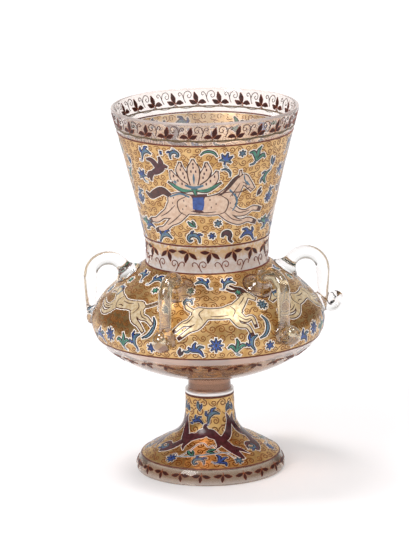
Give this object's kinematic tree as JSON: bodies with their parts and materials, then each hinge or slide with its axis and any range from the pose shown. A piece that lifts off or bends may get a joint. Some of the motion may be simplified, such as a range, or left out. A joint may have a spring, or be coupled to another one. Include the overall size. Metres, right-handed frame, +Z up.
{
  "type": "mosque lamp",
  "caption": "Glass mosque lamp with a flared neck, wide bowl, trumpet foot and loop handles round the shoulder, gilded and enamelled in bands.",
  "frame": {"origin": "centre of the ring that the foot stands on", "axes": "+Z up along the lamp's axis, +X through the right handle, the pictured side towards -Y"},
  "size_m": [0.2112, 0.2051, 0.3],
  "materials": {
    "vessel": "clear blown glass with a faint warm tint",
    "stem_wafer": "thick clear glass that looks amber",
    "foot": "clear blown glass",
    "handle_glass": "clear trailed glass",
    "gilding": "fired gilding with painted scrollwork",
    "gilt_line": "thin gilt line",
    "brown_enamel": "glossy opaque enamel"
  },
  "bodies": {
    "root": {"vessel": "vessel", "stem_wafer": "stem_wafer", "foot": "foot", "handle_right": "handle_glass", "handle_back_right": "handle_glass", "handle_back_left": "handle_glass", "handle_left": "handle_glass", "handle_front_left": "handle_glass", "handle_front_right": "handle_glass", "neck_gilding": "gilding", "shoulder_gilding": "gilding", "foot_gilding": "gilding", "rim_fillet": "gilt_line", "neck_upper_fillet": "brown_enamel", "neck_lower_fillet": "brown_enamel", "collar_fillet": "brown_enamel", "belly_fillet": "brown_enamel", "foot_upper_fillet": "brown_enamel", "foot_lower_fillet": "brown_enamel"}
  },
  "joints": []
}
